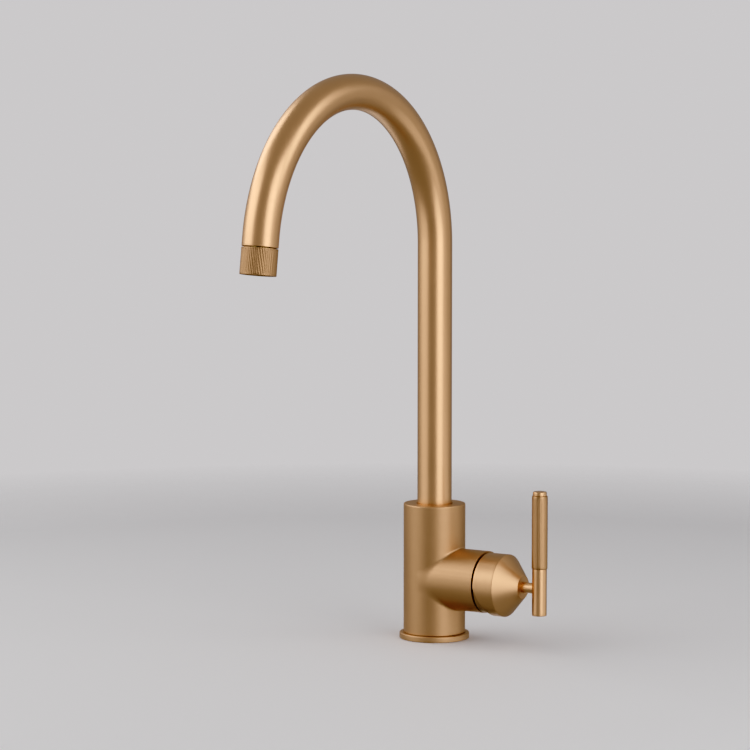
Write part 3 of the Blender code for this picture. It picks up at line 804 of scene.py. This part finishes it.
def make_head():
    outer = 12.5
    low = HEAD_BOTTOM + 0.6
    high = HEAD_TOP - 0.45
    flutes = 44
    lean = math.tan(math.radians(13)) / outer
    shell = [(outer, HEAD_TOP, 0.2), (outer, HEAD_BOTTOM, 0.15), (12.0, HEAD_BOTTOM, 0.1),
             (11.0, HEAD_BOTTOM + 0.9), (11.0, -2.8), (6.5, -2.8), (6.5, HEAD_TOP)]
    wave = knurl(flutes, 0.22, low, high, outer, -lean, fade=0.4)
    shell_piece = lathe("knurled_nozzle", shell, OUTLET, sides=flutes * 10, closed=True, steps=3,
                        longest=0.9, wave=wave, sharp=50.0)
    finish_piece(shell_piece, "nozzle_shell")

    washer = [(7, -5.4, 0.2), (10.7, -5.4, 0.2), (10.7, -6.8, 0.2), (7, -6.8, 0.2)]
    finish_piece(lathe("inlet_washer", washer, OUTLET, closed=True, sides=96), "aerator_washer")
    housing = [(9, -7.1, 0.2), (10.7, -7.1, 0.2), (10.7, -17.2, 0.3), (9.7, -17.2, 0.2),
               (9, -16.4, 0.2)]
    finish_piece(lathe("spray_housing", housing, OUTLET, closed=True, sides=96), "aerator_housing")
    screen = [(0, -14.5), (8.7, -14.5, 0.2), (8.7, -16.7, 0.3), (8.1, -16.7, 0.1), (7.9, -16.2),
              (0, -16.2)]
    screen_piece = lathe("straightener", screen, OUTLET, sides=96)
    cut(screen_piece, honeycomb("cells", 1.55, 0.72, 7.1, -13.5, -17.5, OUTLET))
    finish_piece(reshaded(screen_piece, 20.0), "flow_straightener")

    connector = [(3.5, 12), (6.2, 12, 0.5), (6.2, 11), (5.85, 10.8), (5.85, 10.2), (6.2, 10),
                 (6.2, 9.4), (5.85, 9.2), (5.85, 8.6), (6.2, 8.4), (6.2, -1.0, 0.15), (5.2, -1.0),
                 (5.2, -2.6), (6.2, -2.6, 0.1), (6.2, -3.2), (8.2, -3.2, 0.3), (8.2, -5.0, 0.3),
                 (3.5, -5.0, 0.2)]
    finish_piece(lathe("connector", connector, OUTLET, closed=True, sides=96), "hose_connector")
    magnet = [(6.5, 8, 0.2), (8.9, 8, 0.4), (8.9, 2, 0.4), (6.5, 2, 0.2)]
    finish_piece(lathe("magnet", magnet, OUTLET, closed=True, sides=96), "dock_magnet")
    seal = []
    for angle in np.linspace(0, math.tau, 16, endpoint=False):
        seal.append((5.85 + 0.42 * math.sin(angle), -1.8 + 0.42 * math.cos(angle)))
    finish_piece(lathe("connector_seal", seal, OUTLET, closed=True, sides=96), "connector_o_ring")


# ---------------------------------------------------------------------------------------------
# Handle


def dome_arc(radius, start, end, count):
    """Outline points round the handle's pivot, from one angle off the axis to another."""
    return [(radius * math.sin(angle), PIVOT + radius * math.cos(angle))
            for angle in np.linspace(start, end, count)]


def make_cap():
    outline = [(3.9, 75), (8.3, 75, 0.6), (CAP_R, 61.6, 0.5), (CAP_R, CAP_RIM, 0.25),
               (CAP_BORE_R, CAP_RIM, 0.1), (CAP_BORE_R, 60.4), (17.7, 63.8), (8.6, 63.8),
               (5.3, 65.4), (5.3, 69.5), (3.9, 69.5)]
    cap = lathe("cap", outline, HANDLE, sides=192, closed=True, longest=1.5)
    slant = math.atan2(CAP_LIFT, CAP_R)  # the lower rim is cut back, so that the cap can tip
    kept_side = Vector((math.cos(slant), 0, math.sin(slant)))
    depth = 30.0
    bpy.ops.mesh.primitive_cube_add(size=1.0)
    cutter = bpy.context.object
    cutter.scale = (MM * depth, MM * 60, MM * 80)
    cutter.rotation_euler = (0, -slant, 0)
    cutter.location = MM * (Vector((CAP_RIM, 0, HANDLE_Z)) - kept_side * depth / 2)
    hole = lathe("grub_hole", [(0, 22), (2.3, 22), (2.3, 5), (0, 5)], GRUB, sides=32)
    cut(cap, cutter, hole)
    finish_piece(reshaded(cap), "handle_cap", CAP_BRASS_PAINTED_SHADE)

    grub = [(0, 11), (2.0, 11, 0.2), (2.0, 6.4), (1.2, 5.6), (0, 5.6)]
    grub_piece = lathe("grub_screw", grub, GRUB, sides=48, longest=0.3,
                       wave=thread(2.0, 6.5, 10.8, 0.7, 0.25))
    cut(grub_piece, hex_socket(GRUB, 1.1, 11.5, 8.6))
    finish_piece(reshaded(grub_piece), "cap_grub_screw")

    foot = BRANCH_END + 1.0
    inner_r = 18.6
    dome = dome_arc(DOME_R, math.asin(DOME_HOLE_R / DOME_R), math.acos((foot - PIVOT) / DOME_R), 30)
    dome += [(17.7, foot), (17.7, 41.3), (16.0, 41.3)]
    dome += dome_arc(inner_r, math.asin(16 / inner_r), math.asin(DOME_HOLE_R / inner_r), 8)
    finish_piece(lathe("dome", dome, HANDLE, closed=True), "cartridge_dome", DOME_BRASS_PAINTED_SHADE)


def make_lever():
    stem = lathe("stem", [(0, 86), (3.8, 86), (3.8, 69.8), (0, 69.8)], HANDLE, sides=96,
                 longest=1.0)
    saddle_r = BAR_R + 0.12  # the stem's end is hollowed to sit on the bar
    saddle = [(0, HANDLE_Z + 10), (saddle_r, HANDLE_Z + 10), (saddle_r, HANDLE_Z - 10),
              (0, HANDLE_Z - 10)]
    cut(stem, lathe("saddle", saddle, LEVER, sides=96))
    stud = lathe("stud", [(0, 90.5), (2.5, 90.5), (2.5, 80), (0, 80)], HANDLE, sides=48)
    cut(stem, stud, operation="UNION")
    finish_piece(reshaded(stem), "handle_stem")

    bar = [(0, 103), (1.8, 103), (1.8, GRIP_TOP_Z - 0.1), (3.4, GRIP_TOP_Z - 0.1),
           (3.4, BAR_JOINT_Z), (BAR_R, BAR_JOINT_Z, 0.25), (BAR_R, BAR_BOTTOM_Z, 0.45),
           (0, BAR_BOTTOM_Z)]
    bar_piece = lathe("bar", bar, LEVER, sides=96, longest=2.0)
    cut(bar_piece, lathe("stud_hole", [(0, 91), (2.8, 91), (2.8, 80), (0, 80)], HANDLE, sides=48))
    finish_piece(reshaded(bar_piece), "lever_bar")

    flutes = 34
    grip_r = 5.7
    foot = BAR_JOINT_Z + 0.15
    grip = [(grip_r, GRIP_TOP_Z, 0.3), (grip_r, foot, 0.3), (3.7, foot), (3.7, GRIP_TOP_Z)]
    wave = knurl(flutes, 0.1, foot + 0.5, GRIP_TOP_Z - 0.5, grip_r, fade=0.2)
    grip_piece = lathe("knurled_grip", grip, LEVER, sides=flutes * 8, closed=True, steps=3,
                       longest=2.0, wave=wave, sharp=50.0)
    finish_piece(grip_piece, "lever_grip", GRIP_BRASS_PAINTED_SHADE)

    foot = GRIP_TOP_Z + 0.15
    cap = [(0, BAR_TOP_Z), (5.0, BAR_TOP_Z, 0.9), (5.0, foot, 0.15), (1.5, foot), (1.5, 104),
           (0, 104)]
    finish_piece(lathe("end_cap", cap, LEVER, sides=96, longest=1.0), "lever_end_cap")


# ---------------------------------------------------------------------------------------------
# Studio: radiances and strengths are scene light, before the film curve

BACKDROP_GREY = (0.465, 0.452, 0.459)
BACKDROP_RADIUS = 8.5
FLOOR_GREY = (0.88, 0.86, 0.87)
FLOOR_RADIUS = 1.0
FLOOR_FADE_START = 0.62
SKY_BELOW = 0.155
SKY_ABOVE = 0.22
BOX_DISTANCE = 1.1

# Film curve, from scene light to display light: a soft shoulder and a firm toe
FILM_CURVE = ((0.031, 0.008), (0.0625, 0.053), (0.125, 0.164), (0.25, 0.352), (0.5, 0.63))
# Shadows of the red and green curves: warm blacks, and darks that stay golden, not orange
SHADOW_RED = ((0.001, 0.011), (0.03, 0.033), (0.12, 0.12), (0.5, 0.5))
SHADOW_GREEN = ((0.001, 0.004), (0.016, 0.022), (0.05, 0.055), (0.12, 0.12), (0.5, 0.5))


def softbox(name, azimuth, half_angle, low, high, radiance):
    """An upright panel of light; azimuth is measured from the camera's side to its right."""
    width = 2 * BOX_DISTANCE * math.tan(math.radians(half_angle))
    lamp = bpy.data.lights.new(name, "AREA")
    lamp.shape = "RECTANGLE"
    lamp.size = width
    lamp.size_y = high - low
    lamp.energy = math.pi * radiance * width * (high - low)
    light = bpy.data.objects.new(name, lamp)
    bearing = math.radians(CAMERA_BEARING + azimuth)
    way = Vector((math.cos(bearing), math.sin(bearing), 0))
    light.location = Vector((0, -0.1, (low + high) / 2)) + way * BOX_DISTANCE
    light.rotation_euler = (-way).to_track_quat("-Z", "Y").to_euler()
    light.visible_camera = False
    bpy.context.scene.collection.objects.link(light)


def make_floor():
    """A pale disc that takes the faucet's soft shadow and fades out into the backdrop."""
    bpy.ops.mesh.primitive_circle_add(vertices=128, radius=FLOOR_RADIUS, fill_type="NGON")
    floor = bpy.context.object
    floor.name = "floor"
    material = bpy.data.materials.new("floor")
    nodes = Nodes(material)
    nodes.shader.inputs["Base Color"].default_value = (*FLOOR_GREY, 1.0)
    nodes.shader.inputs["Roughness"].default_value = 0.6
    distance = nodes.add("ShaderNodeVectorMath", operation="LENGTH")
    nodes.join(nodes.place((1, 1, 0)), distance.inputs[0])
    fade = nodes.spread(distance.outputs["Value"], 0.0, 1.0, FLOOR_FADE_START, FLOOR_RADIUS)
    clear = nodes.add("ShaderNodeBsdfTransparent")
    mix = nodes.add("ShaderNodeMixShader")
    nodes.join(fade, mix.inputs["Fac"])
    nodes.join(nodes.shader.outputs["BSDF"], mix.inputs[1])
    nodes.join(clear.outputs["BSDF"], mix.inputs[2])
    nodes.join(mix.outputs["Shader"], nodes.tree.nodes["Material Output"].inputs["Surface"])
    floor.data.materials.append(material)
    floor.visible_glossy = False
    floor.visible_shadow = False


def make_backdrop():
    """A large plain pale shell that only the camera sees."""
    bpy.ops.mesh.primitive_uv_sphere_add(segments=64, ring_count=32, radius=BACKDROP_RADIUS)
    backdrop = bpy.context.object
    backdrop.name = "backdrop"
    material = bpy.data.materials.new("backdrop")
    material.use_nodes = True
    tree = material.node_tree
    tree.nodes.clear()
    emission = tree.nodes.new("ShaderNodeEmission")
    emission.inputs["Color"].default_value = (*BACKDROP_GREY, 1.0)
    output = tree.nodes.new("ShaderNodeOutputMaterial")
    tree.links.new(emission.outputs["Emission"], output.inputs["Surface"])
    backdrop.data.materials.append(material)
    backdrop.visible_glossy = False
    backdrop.visible_diffuse = False
    backdrop.visible_shadow = False
    backdrop.visible_transmission = False


def make_sky():
    """An even grey surround, a little brighter above than below."""
    world = bpy.data.worlds.new("studio")
    bpy.context.scene.world = world
    world.use_nodes = True
    tree = world.node_tree
    coordinates = tree.nodes.new("ShaderNodeTexCoord")
    height = tree.nodes.new("ShaderNodeSeparateXYZ")
    strength = tree.nodes.new("ShaderNodeMapRange")
    strength.inputs["From Min"].default_value = -1.0
    strength.inputs["To Min"].default_value = SKY_BELOW
    strength.inputs["To Max"].default_value = SKY_ABOVE
    tree.links.new(coordinates.outputs["Generated"], height.inputs["Vector"])
    tree.links.new(height.outputs["Z"], strength.inputs["Value"])
    tree.links.new(strength.outputs["Result"], tree.nodes["Background"].inputs["Strength"])
    tree.nodes["Background"].inputs["Color"].default_value = (1.0, 1.0, 1.0, 1.0)


def make_softboxes():
    softbox("left_box", -74, 26, -0.3, 1.2, 0.46)
    softbox("left_fill", -112, 16, -0.1, 1.2, 0.2)
    softbox("left_top_box", -80, 28, 0.35, 1.5, 0.75)
    softbox("back_left_box", -128, 20, 0.65, 2.0, 1.3)
    softbox("right_box", 38, 20, -0.3, 1.2, 1.0)
    softbox("right_top_box", 44, 20, 0.1, 1.2, 0.3)
    softbox("right_fill", 74, 16, -0.1, 1.2, 0.22)
    softbox("right_side_box", 84, 16, 0.6, 1.3, 1.0)
    softbox("back_right_box", 108, 16, 0.0, 0.8, 0.12)
    softbox("right_low_box", 88, 20, -1.1, 0.0, 0.36)
    softbox("back_low_box", -165, 24, -1.0, -0.25, 0.4)


def set_film():
    settings = bpy.context.scene.view_settings
    settings.view_transform = "Standard"
    settings.look = "None"
    settings.use_curve_mapping = True
    curves = settings.curve_mapping.curves
    for curve, points in ((curves[0], SHADOW_RED), (curves[1], SHADOW_GREEN),
                          (curves[3], FILM_CURVE)):
        for point in points:
            curve.points.new(*point)
    settings.curve_mapping.update()


make_camera()
make_body()
make_base()
make_clamp()
make_spout()
make_hose()
make_head()
make_cap()
make_lever()
for node, shown in frame["nodes"].items():
    shown.data.materials.clear()
    shown.data.materials.append(FINISHES[slot_of[node]])
make_sky()
make_softboxes()
make_floor()
make_backdrop()
set_film()
